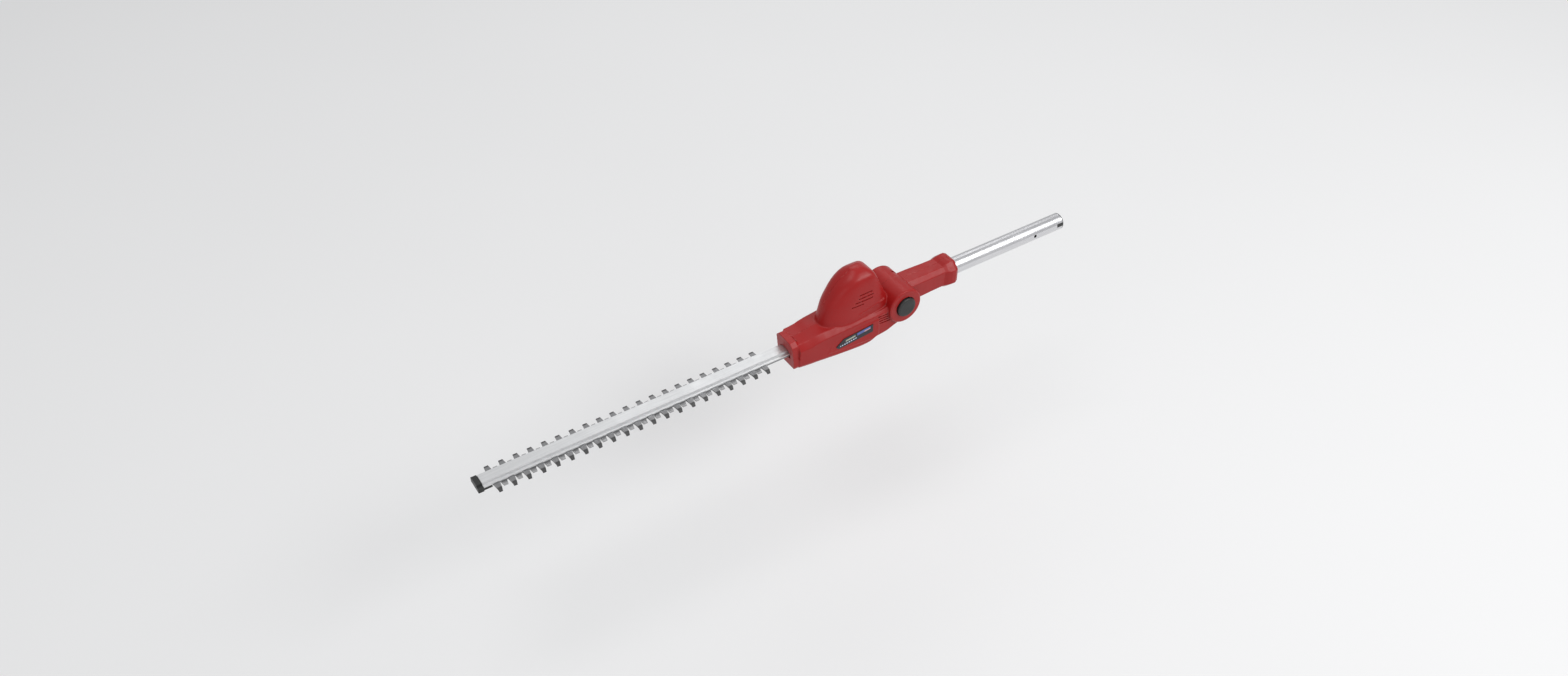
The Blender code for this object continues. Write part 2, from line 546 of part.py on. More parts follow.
# ================================================================= MOTOR
end_plate = turned("motor_end_plate", [(19.3, 3.3), (19.3, 17.5), (23.0, 19.8), (27.7, 19.8), (27.7, 3.3), (19.3, 3.3)], "Z", (MOTOR_X, 0, 0), ZINC, 32, **on(HEAD_AXIS))
for i, y in enumerate((-10.0, 10.0)):
    boolean(end_plate, rod(f"cut_end_plate_{i}", MOTOR_X + 9.0, y, 18, "Z", 7, 1.8, seg=10))
turned("motor_can", [(28.0, 18.2), (28.0, 19.8), (77.5, 19.8), (78.5, 18.8), (78.5, 3.3), (76.9, 3.3), (76.9, 18.2), (28.0, 18.2)], "Z", (MOTOR_X, 0, 0), ZINC, 32, **on(HEAD_AXIS))
turned("motor_rotor", [(8.0, 1.6), (33.0, 1.6), (33.0, 8.0), (38.0, 8.0), (38.0, 15.5), (68.0, 15.5), (68.0, 1.6), (89.0, 1.6)], "Z", (MOTOR_X, 0, 0), COPPER, 24, **on(MOTOR_AXIS))
for nm, z0 in (("motor_bush_lower", 22.0), ("motor_bush_upper", 76.9)):
    turned(nm, [(z0, 1.65), (z0, 3.0), (z0 + 4.0 if z0 < 50 else z0 + 1.6, 3.0), (z0 + 4.0 if z0 < 50 else z0 + 1.6, 1.65), (z0, 1.65)], "Z", (MOTOR_X, 0, 0), BRASS, 18, **on(HEAD_AXIS))
fan_pts = []
for k in range(9):
    a = 2 * math.pi * k / 9
    for rr, w in ((6.0, -0.30), (14.5, -0.26), (15.0, -0.06), (6.0, -0.02)):
        fan_pts.append((MOTOR_X + rr * math.cos(a + w), rr * math.sin(a + w)))
fan = prism("motor_fan", fan_pts, "Z", 81.5, 87.5, NYLON, **on(MOTOR_AXIS))
boolean(fan, rod("cut_fan_disc", MOTOR_X, 0, 80.2, "Z", 2.0, 15.4, seg=28), "UNION")
boolean(fan, rod("cut_fan_bore", MOTOR_X, 0, 78, "Z", 14, 1.9, seg=14))

# ================================================================= PIVOT
turned("pivot_bolt", [(-27.2, 5.2), (-22.2, 5.2), (-22.2, 6.0), (27.3, 6.0), (27.3, 9.8), (30.6, 9.8)], "Y", (PIVOT, 0, AXIS_H), ZINC, 24, **on(HEAD_AXIS))
turned("pivot_nut", [(-26.6, 6.4), (-26.6, 8.5), (-22.8, 8.5), (-22.8, 6.4), (-26.6, 6.4)], "Y", (PIVOT, 0, AXIS_H), ZINC, 6, **on(HEAD_AXIS))
turned("pivot_far_cap", [(31.0, 11.1), (34.4, 11.1), (35.2, 9.6)], "Y", (PIVOT, 0, AXIS_H), BLACK, 28, **on(HEAD_AXIS))
for nm, y0 in (("friction_washer_near", -17.1), ("friction_washer_far", 15.6)):
    turned(nm, [(y0, 6.3), (y0, 10.0), (y0 + 1.5, 10.0), (y0 + 1.5, 6.3), (y0, 6.3)], "Y", (PIVOT, 0, AXIS_H), BRASS, 24)
turned("lock_button", [(-41.8, 12.0), (-41.3, 14.5), (-40.3, 15.3), (-37.6, 15.3), (-37.6, 14.1), (-29.6, 14.1), (-29.6, 10.6), (-38.4, 10.6)], "Y", (PIVOT, 0, AXIS_H), BLACK, 36, **on(BUTTON_AXIS))

# return spring of the lock button
cu = bpy.data.curves.new("lock_spring", "CURVE")
cu.dimensions = "3D"
cu.bevel_depth = 0.55 * MM
cu.bevel_resolution = 1
cu.use_fill_caps = True
sp = cu.splines.new("POLY")
turns, per = 4, 14
sp.points.add(turns * per)
for k in range(turns * per + 1):
    a = 2 * math.pi * k / per
    t = k / (turns * per)
    y = -23.7 - 13.9 * t
    p = P(PIVOT + 9.45 * math.cos(a), y, AXIS_H + 9.45 * math.sin(a))
    sp.points[k].co = (*p, 1.0)
spring = bpy.data.objects.new("lock_spring", cu)
PARTS.objects.link(spring)
cu.materials.append(ZINC)

# ================================================================= SLEEVE
def octagon(x, apothem, k):
    """Eight-sided section across the sleeve: flats at the apothem, corners k of it away."""
    h = apothem
    return [P(x, y, AXIS_H + z) for y, z in ((h * k, apothem), (h, apothem * k), (h, -apothem * k), (h * k, -apothem), (-h * k, -apothem), (-h, -apothem * k), (-h, apothem * k), (-h * k, apothem))]


SLEEVE = [(640.0, 19.4, 0.66), (664.0, 19.3, 0.66), (690.0, 18.5, 0.66), (713.0, 18.2, 0.66), (719.0, 20.8, 0.56), (725.0, 22.4, 0.5), (731.0, 22.6, 0.5), (COLLAR_END, 20.2, 0.5)]
sleeve = loft("cut_sleeve_form", [octagon(*s) for s in SLEEVE])
boolean(sleeve, rod("cut_eye", PIVOT, -EYE_HALF, AXIS_H, "Y", 2 * EYE_HALF, EYE_R, seg=40), "UNION")
# the cheeks of the knuckle turn in front of the sleeve's shoulders
bm = bmesh.new()
for s in (-1, 1):
    revolve(bm, [(s * EYE_HALF, KNUCKLE_R + 0.6), (s * 30.0, KNUCKLE_R + 0.6)], "Y", (PIVOT, 0, AXIS_H), 64)
boolean(sleeve, add(bm, "cut_cheek_room", None, cutter=True))
sleeve_cuts = [
    rod("cut_sleeve_bore", TUBE_IN - GAP, 0, AXIS_H, "X", 100, TUBE_R + GAP, seg=32),
    rod("cut_cable_way", PIVOT - 30, 0, AXIS_H, "X", 70, 4.0, seg=14),
    rod("cut_eye_hole", PIVOT, -30, AXIS_H, "Y", 60, 6.4, seg=24),
    rod("cut_washer_near", PIVOT, -18, AXIS_H, "Y", 2.6, 10.4, seg=24),
    rod("cut_washer_far", PIVOT, 15.4, AXIS_H, "Y", 2.6, 10.4, seg=24),
]
SLEEVE_SCREWS = [(657.0, 12.0), (657.0, -12.0), (727.0, 18.0), (727.0, -18.0)]
bpy.context.view_layer.update()
for nm, side in (("sleeve_near_half", -1), ("sleeve_far_half", 1)):
    dg = bpy.context.evaluated_depsgraph_get()
    bm = bmesh.new()
    bm.from_mesh(bpy.data.meshes.new_from_object(sleeve.evaluated_get(dg)))
    ob = add(bm, nm, RED)
    lo, hi = (-40, -GAP / 2) if side < 0 else (GAP / 2, 40)
    boolean(ob, box(f"cut_half_{nm}", 580, 760, lo, hi, -30, 80), "INTERSECT")
    for c in sleeve_cuts:
        boolean(ob, c)
    for i, (x, dz) in enumerate(SLEEVE_SCREWS):
        if side < 0:
            boolean(ob, rod(f"cut_sleeve_pilot_{i}", x, -7, AXIS_H + dz, "Y", 9, 1.75, seg=10))
        else:
            boolean(ob, rod(f"cut_sleeve_clear_{i}", x, -2, AXIS_H + dz, "Y", 40, 1.9, seg=10))
            boolean(ob, rod(f"cut_sleeve_sink_{i}", x, 4.6, AXIS_H + dz, "Y", 40, 3.1, seg=12))
for i, (x, dz) in enumerate(SLEEVE_SCREWS):
    turned(f"sleeve_screw_{i + 1}", [(-6.0, 1.4), (4.9, 1.4), (4.9, 2.7), (7.0, 2.7)], "Y", (x, 0, AXIS_H + dz), ZINC, 12)

# ================================================================= POLE
tube = turned("pole_tube", [(0, TUBE_R - TUBE_WALL), (0, TUBE_R), (POLE_END - 1.1 - TUBE_IN, TUBE_R), (POLE_END - 1.1 - TUBE_IN, TUBE_R - TUBE_WALL), (0, TUBE_R - TUBE_WALL)], "X", (TUBE_IN, 0, AXIS_H), ALU, 40)
boolean(tube, rod("cut_snap_hole", SNAP_HOLE_X, -20, AXIS_H + 1.2, "Y", 15, SNAP_HOLE_R, seg=16))
boolean(tube, box("cut_key_slot", 940.6, 960, -20, -8, AXIS_H - 0.6, AXIS_H + 5.0))
conn = turned("pole_connector", [(0, 11.1), (POLE_END - 0.8 - 926.0, 11.1), (POLE_END - 0.8 - 926.0, 13.0), (POLE_END - 926.0, 13.0)], "X", (926.0, 0, AXIS_H), BLACK, 32)
boolean(conn, box("cut_connector_key", 941.0, POLE_END - 0.5, -12.9, -10.0, AXIS_H - 0.2, AXIS_H + 4.6), "UNION")
for i, y in enumerate((-4.5, 4.5)):
    boolean(conn, box(f"cut_contact_well_{i}", 938.0, 960, y - 1.1, y + 1.1, AXIS_H - 2.6, AXIS_H + 2.6))
    box(f"contact_blade_{i + 1}", 938.3, 950.0, y - 0.4, y + 0.4, AXIS_H - 2.0, AXIS_H + 2.0, BRASS)

# the lead inside the pole, and the lead inside the head
for nm, pts, par in (
    ("pole_lead", [(x, 0.0, AXIS_H) for x in (925.5, 850.0, 760.0, 662.0, 640.0)], None),
    ("head_lead", [(599.0, 0.0, 24.0), (594.0, 0.0, 26.0), (589.0, 0.0, 30.0), (583.5, 0.0, 38.0), (580.6, 0.0, 48.0), (580.6, 0.0, 62.0), (580.2, 0.0, 75.0)], HEAD_AXIS),
):
    cu = bpy.data.curves.new(nm, "CURVE")
    cu.dimensions = "3D"
    cu.bevel_depth = 2.2 * MM
    cu.bevel_resolution = 2
    cu.use_fill_caps = True
    sp = cu.splines.new("POLY")
    sp.points.add(len(pts) - 1)
    for q, p in zip(sp.points, pts):
        q.co = (*P(*p), 1.0)
    ob = bpy.data.objects.new(nm, cu)
    PARTS.objects.link(ob)
    cu.materials.append(LEAD)
    if par:
        ob.parent = par
        ob.matrix_parent_inverse = Matrix.Translation(par.location).inverted()

for m in (shell, cavity, sleeve, panel):
    m.hide_render = True
    m.display_type = "WIRE"
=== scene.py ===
import json
import math

import bmesh
import bpy
from mathutils import Matrix, Vector

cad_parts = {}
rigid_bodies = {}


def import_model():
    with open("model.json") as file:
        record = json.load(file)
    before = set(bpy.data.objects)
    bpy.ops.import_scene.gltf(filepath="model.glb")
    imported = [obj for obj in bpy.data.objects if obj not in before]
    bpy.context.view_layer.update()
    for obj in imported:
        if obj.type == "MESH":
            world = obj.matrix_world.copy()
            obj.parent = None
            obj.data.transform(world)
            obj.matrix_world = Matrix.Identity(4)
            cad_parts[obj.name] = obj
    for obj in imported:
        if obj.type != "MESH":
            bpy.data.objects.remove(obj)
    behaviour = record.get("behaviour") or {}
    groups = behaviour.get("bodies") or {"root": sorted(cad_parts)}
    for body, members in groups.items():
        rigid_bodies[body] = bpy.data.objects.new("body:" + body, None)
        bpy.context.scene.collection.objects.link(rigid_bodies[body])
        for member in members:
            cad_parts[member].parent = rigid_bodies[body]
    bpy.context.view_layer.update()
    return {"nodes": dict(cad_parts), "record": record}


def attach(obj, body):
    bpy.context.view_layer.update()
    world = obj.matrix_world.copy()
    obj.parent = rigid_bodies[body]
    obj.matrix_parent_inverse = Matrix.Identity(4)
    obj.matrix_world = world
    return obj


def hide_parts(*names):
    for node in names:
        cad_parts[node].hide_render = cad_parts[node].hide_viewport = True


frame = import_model()
N = frame["nodes"]

# --------------------------------------------------------------------------
# Lengths below are millimetres: station along the tool from the first guard
# tooth, side across it, height above the tooth plane.
PE, AH = 953.0, 24.0
PIVOT = 626.3
WALL, GAP = 2.4, 0.3
KNUCKLE_R, KNUCKLE_NEAR, KNUCKLE_FAR = 27.5, 37.5, 33.5
EYE_R, EYE_HALF, CHEEK_IN, NECK_HALF = 24.6, 16.9, 17.3, 19.6
TILT_MAX = 60.0
COLLAR_END = 736.0
TUBE_R = 13.0


def P(x, y, z):
    return Vector(((x - PE) * 0.001, y * 0.001, (z - AH) * 0.001))


TOOLS = bpy.data.collections.new("tools")
SHOWN = bpy.data.collections.new("looks")
bpy.context.scene.collection.children.link(SHOWN)


def new_object(name, bm, coll=TOOLS):
    bmesh.ops.remove_doubles(bm, verts=bm.verts, dist=1e-7)
    bmesh.ops.recalc_face_normals(bm, faces=bm.faces)
    me = bpy.data.meshes.new(name)
    bm.to_mesh(me)
    bm.free()
    ob = bpy.data.objects.new(name, me)
    coll.objects.link(ob)
    return ob


def loft_bm(sections):
    bm = bmesh.new()
    loops = [[bm.verts.new(p) for p in s] for s in sections]
    n = len(loops[0])
    for a, b in zip(loops, loops[1:]):
        for k in range(n):
            bm.faces.new((a[k], a[(k + 1) % n], b[(k + 1) % n], b[k]))
    bm.faces.new(loops[0])
    bm.faces.new(loops[-1])
    bmesh.ops.triangulate(bm, faces=bm.faces)
    bmesh.ops.recalc_face_normals(bm, faces=bm.faces)
    return bm


AX = {"X": Matrix.Rotation(math.pi / 2, 4, "Y"), "Y": Matrix.Rotation(-math.pi / 2, 4, "X"), "Z": Matrix.Identity(4)}


def revolve(bm, rings, axis, centre, seg=48, turn=0.0):
    base = Matrix.Translation(P(*centre)) @ AX[axis] @ Matrix.Rotation(turn, 4, "Z")
    loops = [[bm.verts.new(base @ Vector((r * 0.001 * math.cos(2 * math.pi * k / seg), r * 0.001 * math.sin(2 * math.pi * k / seg), t * 0.001))) for k in range(seg)] for t, r in rings]
    closed = rings[0] == rings[-1]
    if closed:
        for v in loops[-1]:
            bm.verts.remove(v)
        loops[-1] = loops[0]
    for a, b in zip(loops, loops[1:]):
        for k in range(seg):
            bm.faces.new((a[k], a[(k + 1) % seg], b[(k + 1) % seg], b[k]))
    if not closed:
        bm.faces.new(loops[0])
        bm.faces.new(loops[-1])


def turned(name, rings, axis, centre, seg=48, coll=TOOLS):
    bm = bmesh.new()
    revolve(bm, rings, axis, centre, seg)
    return new_object(name, bm, coll)


def rod(name, x, y, z, axis, length, r, seg=48):
    return turned(name, [(0, r), (length, r)], axis, (x, y, z), seg)


def box(name, x0, x1, y0, y1, z0, z1):
    bm = bmesh.new()
    a, b = P(x0, y0, z0), P(x1, y1, z1)
    bmesh.ops.create_cube(bm, size=1.0, matrix=Matrix.Translation((a + b) / 2) @ Matrix.Diagonal((b.x - a.x, b.y - a.y, b.z - a.z, 1)))
    return new_object(name, bm)


def prism(name, pts, axis, lo, hi):
    bm = bmesh.new()
    place = {"X": lambda u, v, t: P(t, u, v), "Y": lambda u, v, t: P(u, t, v), "Z": lambda u, v, t: P(u, v, t)}[axis]
    f = bm.faces.new([bm.verts.new(place(u, v, lo)) for u, v in pts])
    ext = bmesh.ops.extrude_face_region(bm, geom=[f])
    bmesh.ops.translate(bm, vec=place(0, 0, hi) - place(0, 0, lo), verts=[v for v in ext["geom"] if isinstance(v, bmesh.types.BMVert)])
    return new_object(name, bm)


def evaluated(ob):
    bpy.context.view_layer.update()
    return bpy.data.meshes.new_from_object(ob.evaluated_get(bpy.context.evaluated_depsgraph_get()))


def cut(ob, tool, op="DIFFERENCE", solver="EXACT"):
    """Applies one Boolean at once."""
    m = ob.modifiers.new("cut", "BOOLEAN")
    m.operation, m.solver, m.object = op, solver, tool
    me = evaluated(ob)
    ob.modifiers.remove(m)
    if len(me.polygons) == 0 and solver == "MANIFOLD":
        return cut(ob, tool, op, "EXACT")
    ob.data = me
    return ob


def sharp(ob, angle=34.0):
    ob.data.shade_smooth()
    ob.data.set_sharp_from_angle(angle=math.radians(angle))


bpy.context.scene.collection.children.link(TOOLS)

# ================================================================ MATERIALS
def shader(name):
    m = bpy.data.materials.new(name)
    m.use_nodes = True
    nt = m.node_tree
    return m, nt, nt.nodes["Principled BSDF"]


def noise(nt, scale, detail=4.0, stretch=None, rough=0.55):
    tc = nt.nodes.new("ShaderNodeTexCoord")
    src = tc.outputs["Object"]
    if stretch:
        mp = nt.nodes.new("ShaderNodeMapping")
        mp.inputs["Scale"].default_value = stretch
        nt.links.new(src, mp.inputs["Vector"])
        src = mp.outputs["Vector"]
    n = nt.nodes.new("ShaderNodeTexNoise")
    n.inputs["Scale"].default_value = scale
    n.inputs["Detail"].default_value = detail
    n.inputs["Roughness"].default_value = rough
    nt.links.new(src, n.inputs["Vector"])
    return n.outputs["Fac"]


def ramp(nt, fac, stops):
    r = nt.nodes.new("ShaderNodeValToRGB")
    el = r.color_ramp.elements
    while len(el) < len(stops):
        el.new(0.5)
    for e, (p, c) in zip(el, stops):
        e.position = p
        e.color = (*c, 1.0) if len(c) == 3 else c
    nt.links.new(fac, r.inputs["Fac"])
    return r.outputs["Color"]


def val(nt, fac, lo, hi, a=0.3, b=0.7):
    mr = nt.nodes.new("ShaderNodeMapRange")
    mr.inputs["From Min"].default_value = a
    mr.inputs["From Max"].default_value = b
    mr.inputs["To Min"].default_value = lo
    mr.inputs["To Max"].default_value = hi
    nt.links.new(fac, mr.inputs["Value"])
    return mr.outputs["Result"]


def bump(nt, bsdf, fac, distance, strength=1.0, also=None):
    b = nt.nodes.new("ShaderNodeBump")
    b.inputs["Distance"].default_value = distance
    b.inputs["Strength"].default_value = strength
    nt.links.new(fac, b.inputs["Height"])
    if also is not None:
        nt.links.new(also, b.inputs["Normal"])
    nt.links.new(b.outputs["Normal"], bsdf.inputs["Normal"])
    return b.outputs["Normal"]


def painted_edge_highlight(nt, colour, highlight_rgb, radius=0.0016):
    """Painted edge highlight: a lighter colour, in patches, where the surface turns sharply within the radius."""
    ao = nt.nodes.new("ShaderNodeBevel")
    ao.samples = 4
    ao.inputs["Radius"].default_value = radius
    geo = nt.nodes.new("ShaderNodeNewGeometry")
    dot = nt.nodes.new("ShaderNodeVectorMath")
    dot.operation = "DOT_PRODUCT"
    nt.links.new(ao.outputs["Normal"], dot.inputs[0])
    nt.links.new(geo.outputs["Normal"], dot.inputs[1])
    # edge is 1 on sharp turns, where the lighter colour is painted as a highlight
    edge = val(nt, dot.outputs["Value"], 1.0, 0.0, 0.86, 0.995)
    patchy = val(nt, noise(nt, 180.0, 5.0), 0.0, 0.75, 0.46, 0.62)
    f = nt.nodes.new("ShaderNodeMath")
    f.operation = "MULTIPLY"
    nt.links.new(edge, f.inputs[0])
    nt.links.new(patchy, f.inputs[1])
    x = nt.nodes.new("ShaderNodeMix")
    x.data_type = "RGBA"
    nt.links.new(f.outputs[0], x.inputs["Factor"])
    nt.links.new(colour, x.inputs["A"])
    x.inputs["B"].default_value = (*highlight_rgb, 1)
    return x.outputs["Result"]


def plastic(name, rgb, dark, rough, grain=2600.0, spec=0.5, relief=0.00006, edge_highlight=None):
    m, nt, b = shader(name)
    broad = noise(nt, 22.0, 5.0)
    fine = noise(nt, grain, 3.0)
    col = ramp(nt, broad, [(0.32, dark), (0.68, rgb)])
    # sharp edges get a lighter colour painted on as edge highlight
    if edge_highlight:
        col = painted_edge_highlight(nt, col, edge_highlight)
    nt.links.new(col, b.inputs["Base Color"])
    nt.links.new(val(nt, noise(nt, 140.0, 6.0), rough - 0.05, rough + 0.07), b.inputs["Roughness"])
    b.inputs["Specular IOR Level"].default_value = spec
    bump(nt, b, fine, relief, 0.55)
    return m


def metal(name, rgb, dark, rough, stretch=(1, 1, 1), scale=400.0, spread=0.08, relief=0.00002, spots=None):
    m, nt, b = shader(name)
    b.inputs["Metallic"].default_value = 1.0
    lines = noise(nt, scale, 5.0, stretch, 0.65)
    broad = noise(nt, 30.0, 5.0)
    mix = nt.nodes.new("ShaderNodeMix")
    mix.data_type = "RGBA"
    nt.links.new(val(nt, lines, 0.0, 1.0), mix.inputs["Factor"])
    mix.inputs["A"].default_value = (*dark, 1)
    mix.inputs["B"].default_value = (*rgb, 1)
    nt.links.new(mix.outputs["Result"], b.inputs["Base Color"])
    nt.links.new(val(nt, broad, rough - spread / 2, rough + spread), b.inputs["Roughness"])
    bump(nt, b, lines, relief, 0.6)
    return m, nt, b, mix


# the lighter edge colours given below are painted edge highlights
RED = plastic("red_plastic", (0.335, 0.0070, 0.0066), (0.30, 0.0070, 0.0068), 0.36, spec=0.32, relief=0.000012, edge_highlight=(0.50, 0.085, 0.075))
BLACK = plastic("black_plastic", (0.016, 0.017, 0.016), (0.011, 0.012, 0.0115), 0.46, edge_highlight=(0.08, 0.08, 0.08))
TUBE, *_ = metal("satin_tube", (0.73, 0.73, 0.74), (0.62, 0.62, 0.64), 0.30, (0.03, 1, 1), 900.0)
BAR, *_ = metal("extruded_bar", (0.72, 0.725, 0.73), (0.60, 0.605, 0.61), 0.38, (0.02, 1, 1), 1200.0)
CAST, *_ = metal("machined_plate", (0.6, 0.6, 0.61), (0.5, 0.5, 0.51), 0.45, (1, 1, 1), 500.0)
GEARS, *_ = metal("gear_steel", (0.42, 0.42, 0.43), (0.32, 0.32, 0.33), 0.33, (1, 1, 0.2), 600.0)
ZINC, *_ = metal("zinc_steel", (0.6, 0.6, 0.62), (0.48, 0.48, 0.5), 0.34, (1, 1, 1), 700.0)
CAN, *_ = metal("plated_sheet", (0.52, 0.52, 0.53), (0.43, 0.43, 0.44), 0.38, (1, 1, 0.1), 500.0)
ROTOR, *_ = metal("rotor", (0.40, 0.20, 0.10), (0.20, 0.16, 0.14), 0.5, (1, 1, 0.05), 300.0)
BRONZE, *_ = metal("sintered_bronze", (0.5, 0.34, 0.14), (0.4, 0.27, 0.11), 0.45, (1, 1, 1), 1500.0)
NYLON = plastic("white_nylon", (0.75, 0.74, 0.7), (0.7, 0.69, 0.65), 0.45)
SHEATH = plastic("cable_sheath", (0.04, 0.04, 0.045), (0.03, 0.03, 0.034), 0.6)


def blade_material(name, light, dark, solid):
    """Ground steel, crosswise grinding marks; the tooth ends beyond the bar get painted shade, a dark colour with less
    metal.
    """
    m, nt, b, mix = metal(name, light, dark, 0.40, (1, 0.06, 1), 900.0)
    tc = nt.nodes.new("ShaderNodeTexCoord")
    sep = nt.nodes.new("ShaderNodeSeparateXYZ")
    nt.links.new(tc.outputs["Object"], sep.inputs["Vector"])
    ab = nt.nodes.new("ShaderNodeMath")
    ab.operation = "ABSOLUTE"
    nt.links.new(sep.outputs["Y"], ab.inputs[0])
    jitter = nt.nodes.new("ShaderNodeMath")
    jitter.operation = "MULTIPLY_ADD"
    nt.links.new(noise(nt, 300.0, 4.0), jitter.inputs[0])
    jitter.inputs[1].default_value = 0.002
    nt.links.new(ab.outputs[0], jitter.inputs[2])
    # reach ramps from 0 to 1 between 20.4 and 22 mm off the centre line: the mask of the painted shade on the tooth
    # ends
    reach = val(nt, jitter.outputs[0], 0.0, 1.0, 0.0204, 0.0220)
    tip_shade = nt.nodes.new("ShaderNodeMix")
    tip_shade.data_type = "RGBA"
    nt.links.new(reach, tip_shade.inputs["Factor"])
    nt.links.new(mix.outputs["Result"], tip_shade.inputs["A"])
    tip_shade.inputs["B"].default_value = (0.055, 0.055, 0.055, 1)
    nt.links.new(tip_shade.outputs["Result"], b.inputs["Base Color"])
    # the painted shade also lowers the metallic value at the tooth ends
    inv = nt.nodes.new("ShaderNodeMath")
    inv.operation = "MULTIPLY_ADD"
    nt.links.new(reach, inv.inputs[0])
    inv.inputs[1].default_value = -0.5
    inv.inputs[2].default_value = solid
    nt.links.new(inv.outputs[0], b.inputs["Metallic"])
    return m


COMB = blade_material("comb_steel", (0.30, 0.30, 0.305), (0.20, 0.20, 0.205), 0.9)
BLADE = blade_material("blade_steel", (0.44, 0.44, 0.445), (0.33, 0.33, 0.335), 0.72)


def label_material():
    """Dark film with plain light bars in place of any words."""
    m, nt, b = shader("label_film")
    tc = nt.nodes.new("ShaderNodeTexCoord")
    sep = nt.nodes.new("ShaderNodeSeparateXYZ")
    nt.links.new(tc.outputs["Object"], sep.inputs["Vector"])

    def math_node(op, a, bb=None, c=None):
        n = nt.nodes.new("ShaderNodeMath")
        n.operation = op
        for i, v in enumerate((a, bb, c)):
            if v is None:
                continue
            if isinstance(v, (int, float)):
                n.inputs[i].default_value = v
            else:
                nt.links.new(v, n.inputs[i])
        return n.outputs[0]

    # coordinates along and across the label, in mm
    u = math_node("MULTIPLY_ADD", sep.outputs["X"], 1000.0, PE - 512.0)
    w = math_node("MULTIPLY_ADD", sep.outputs["Z"], 1000.0, AH)
    # the label's centre line climbs along the flank
    v = math_node("SUBTRACT", w, math_node("MULTIPLY_ADD", u, 0.20, -6.6))

    def inside(x, lo, hi):
        return math_node("MULTIPLY", math_node("GREATER_THAN", x, lo), math_node("LESS_THAN", x, hi))

    def patch(u0, u1, v0, v1):
        return math_node("MULTIPLY", inside(u, u0, u1), inside(v, v0, v1))

    big = patch(34.0, 56.0, 1.6, 6.0)
    mid = patch(15.0, 31.0, 1.8, 4.6)
    ticks = math_node("MULTIPLY", patch(6.0, 33.0, -2.6, -0.8), math_node("GREATER_THAN", math_node("FRACT", math_node("MULTIPLY", u, 0.27)), 0.38))
    warm = patch(46.0, 56.0, 1.6, 3.2)
    base = ramp(nt, noise(nt, 60.0, 3.0), [(0.3, (0.005, 0.006, 0.011)), (0.7, (0.009, 0.011, 0.018))])

    def over(under, colour, fac):
        x = nt.nodes.new("ShaderNodeMix")
        x.data_type = "RGBA"
        nt.links.new(fac, x.inputs["Factor"])
        nt.links.new(under, x.inputs["A"])
        x.inputs["B"].default_value = (*colour, 1)
        return x.outputs["Result"]

    col = over(base, (0.09, 0.12, 0.36), big)
    col = over(col, (0.36, 0.38, 0.30), mid)
    col = over(col, (0.58, 0.66, 0.80), ticks)
    col = over(col, (0.62, 0.36, 0.40), warm)
    nt.links.new(col, b.inputs["Base Color"])
    nt.links.new(val(nt, noise(nt, 300.0, 4.0), 0.28, 0.38), b.inputs["Roughness"])
    bump(nt, b, noise(nt, 1800.0, 2.0), 0.00001, 0.4)
    return m


LABEL = label_material()

SLOTS = {
    "red_plastic": RED, "black_plastic": BLACK, "anodised_tube": TUBE, "bare_aluminium": BAR, "cast_aluminium": CAST,
    "blade_steel": BLADE, "gear_steel": GEARS, "zinc_steel": ZINC, "motor_steel": CAN, "spring_steel": ZINC,
    "rotor_iron": ROTOR, "contact_brass": BRONZE, "sintered_bronze": BRONZE, "white_nylon": NYLON, "label_film": LABEL,
    "cable_sheath": SHEATH,
}
for sub in frame["record"]["subparts"]:
    ob = N[sub["node"]]
    ob.data.materials.clear()
    ob.data.materials.append(COMB if sub["node"] == "guard_comb" else SLOTS[sub["material_slot"]])

# ================================================================ HOUSING
BODY = [
    (453.0, (20.4, 21.0), (22.8, 8.0), (22.9, -17.8), (20.6, -22.2)),
    (470.0, (20.6, 22.6), (24.8, 9.8), (24.7, -18.4), (22.2, -22.8)),
    (484.0, (21.4, 25.2), (25.6, 13.2), (25.5, -19.0), (22.9, -23.4)),
    (505.0, (22.6, 26.8), (27.2, 16.4), (27.1, -20.0), (24.4, -24.3)),
    (528.0, (24.6, 26.6), (28.9, 18.6), (28.7, -20.8), (25.9, -25.0)),
    (555.0, (26.8, 26.4), (30.6, 21.8), (30.2, -21.2), (27.4, -25.4)),
    (572.0, (27.4, 26.8), (31.4, 22.6), (31.1, -19.4), (28.2, -23.5)),
    (582.0, (28.2, 27.4), (31.9, 23.2), (31.4, -14.8), (28.6, -18.9)),
    (600.0, (29.8, 30.0), (32.6, 25.4), (32.0, -11.6), (29.1, -15.6)),
    (612.0, (31.0, 36.0), (33.2, 30.0), (32.8, -6.0), (30.1, -9.8)),
    (626.0, (32.0, 44.0), (33.6, 38.0), (33.1, -1.6), (30.4, -4.8)),
]
DOME = [
    (22.0, 496.0, 613.0, 26.6),
    (40.0, 501.5, 607.1, 26.3),
    (55.0, 506.6, 600.4, 25.9),
    (66.0, 513.0, 595.4, 25.0),
    (76.0, 520.0, 590.9, 24.0),
    (84.0, 527.6, 587.2, 22.6),
    (91.0, 537.0, 583.0, 19.6),
    (96.0, 545.5, 576.5, 13.5),
    (99.2, 551.5, 570.5, 7.5),
]
LOW_VENTS = [(581.5 + 1.2 * r, 599.0 + 1.4 * r, 19.4 - 4.3 * r) for r in range(4)]
VENTS = [(552.0, 574.0, 67.6), (549.5, 576.0, 62.0), (544.0, 575.0, 56.6), (538.5, 559.0, 51.2)]
BOSSES = [(462.0, 13.2, 19.6), (462.0, -13.0, 21.4), (519.0, 40.0, 19.0), (588.5, 58.0, 20.6), (590.0, -4.0, 30.5)]


